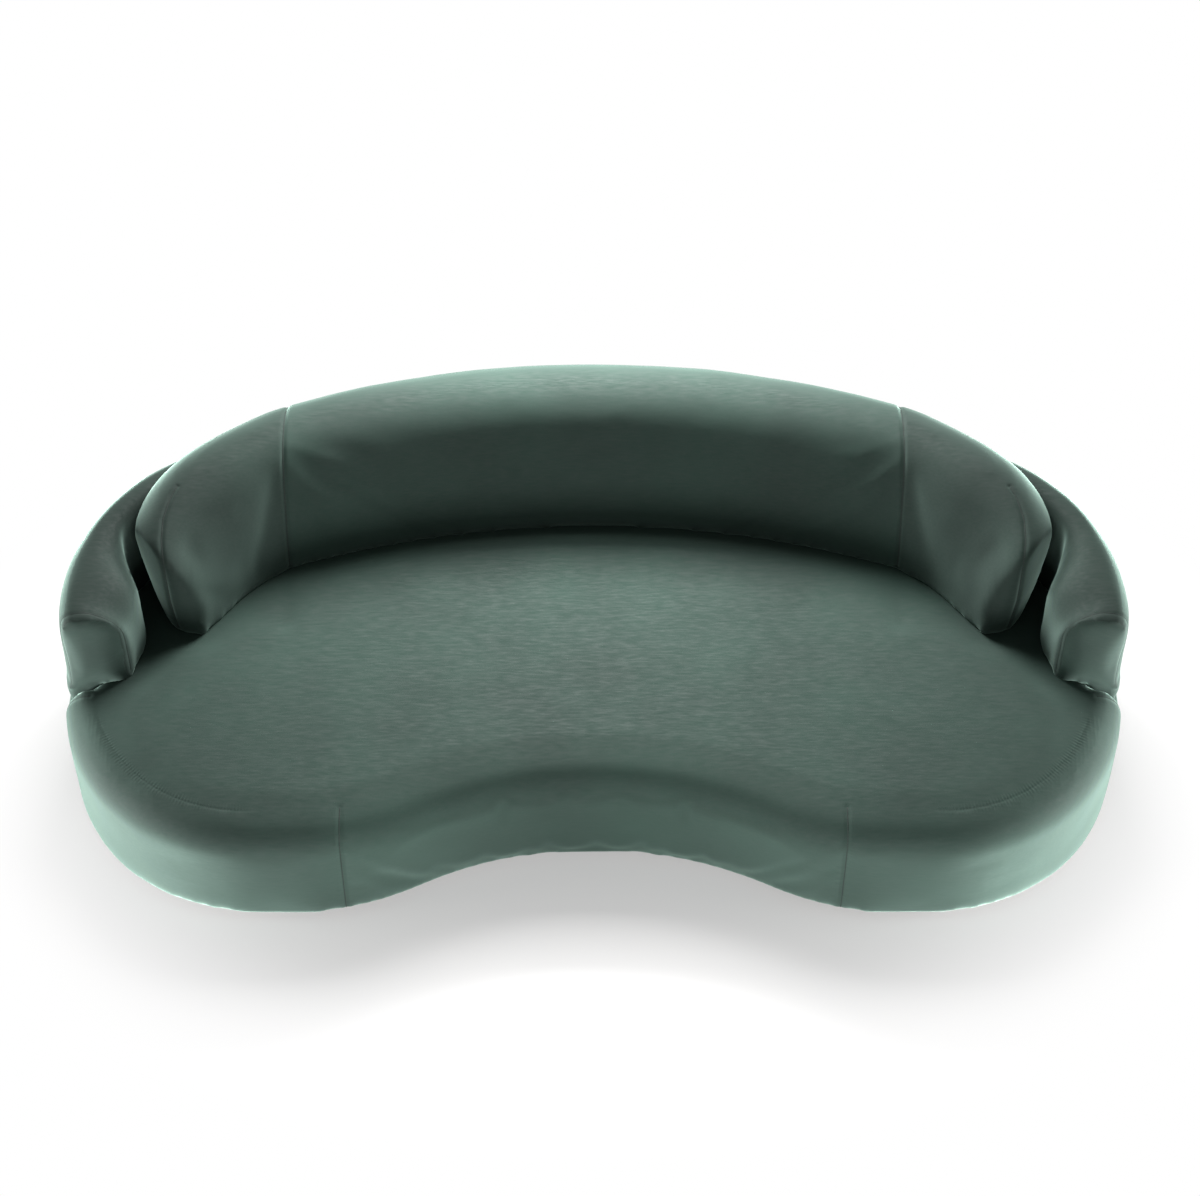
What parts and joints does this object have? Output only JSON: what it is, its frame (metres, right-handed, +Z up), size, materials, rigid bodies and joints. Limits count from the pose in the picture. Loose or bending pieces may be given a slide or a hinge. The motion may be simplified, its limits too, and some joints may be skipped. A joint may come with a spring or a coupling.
{
  "type": "curved sofa",
  "caption": "Kidney-shaped upholstered sofa with a one-piece seat, a wrap-round wall ending in padded arms and a taller leaning back; stands on low feet.",
  "frame": {"origin": "on the floor under the middle of the sofa's box", "axes": "+X to the right seen from the front, +Y to the rear, +Z up"},
  "size_m": [2.82, 1.3998, 0.7506],
  "materials": {
    "velvet": "short-pile dark green velvet",
    "foam": "upholstery foam",
    "wadding": "polyester wadding",
    "black_cloth": "non-woven bottom cloth",
    "webbing": "woven elastic strap",
    "plywood": "birch plywood",
    "beech": "planed beech",
    "foot_plastic": "moulded black plastic",
    "zinc_steel": "zinc-plated steel"
  },
  "bodies": {
    "root": {"arm_cover_left": "velvet", "arm_cover_right": "velvet", "arm_end_left": "velvet", "arm_end_right": "velvet", "arm_pad_left": "foam", "arm_pad_right": "foam", "back_board": "plywood", "back_cover_centre": "velvet", "back_cover_left": "velvet", "back_cover_right": "velvet", "back_end_border_left": "velvet", "back_end_border_right": "velvet", "back_pad_centre": "foam", "back_pad_left": "foam", "back_pad_right": "foam", "back_posts": "beech", "base_panel": "plywood", "base_rib_1": "plywood", "base_rib_2": "plywood", "base_rib_3": "plywood", "base_rib_4": "plywood", "base_rib_5": "plywood", "base_rim_front": "plywood", "base_rim_left": "plywood", "base_rim_rear": "plywood", "base_rim_right": "plywood", "base_wadding_front": "wadding", "base_wadding_left": "wadding", "base_wadding_rear": "wadding", "base_wadding_right": "wadding", "border_cover_front": "velvet", "border_cover_left": "velvet", "border_cover_rear": "velvet", "border_cover_right": "velvet", "deck_panel": "plywood", "dust_cover": "black_cloth", "feet": "foot_plastic", "foot_screws": "zinc_steel", "frame_bolts": "zinc_steel", "rear_cover": "velvet", "rear_pad": "foam", "seat_cover": "velvet", "seat_foam": "foam", "side_board_left": "plywood", "side_board_right": "plywood", "straps_front_to_rear": "webbing", "straps_side_to_side": "webbing", "top_rail": "beech", "wall_cover_left": "velvet", "wall_cover_right": "velvet", "wall_pad_left": "foam", "wall_pad_right": "foam"}
  },
  "joints": []
}
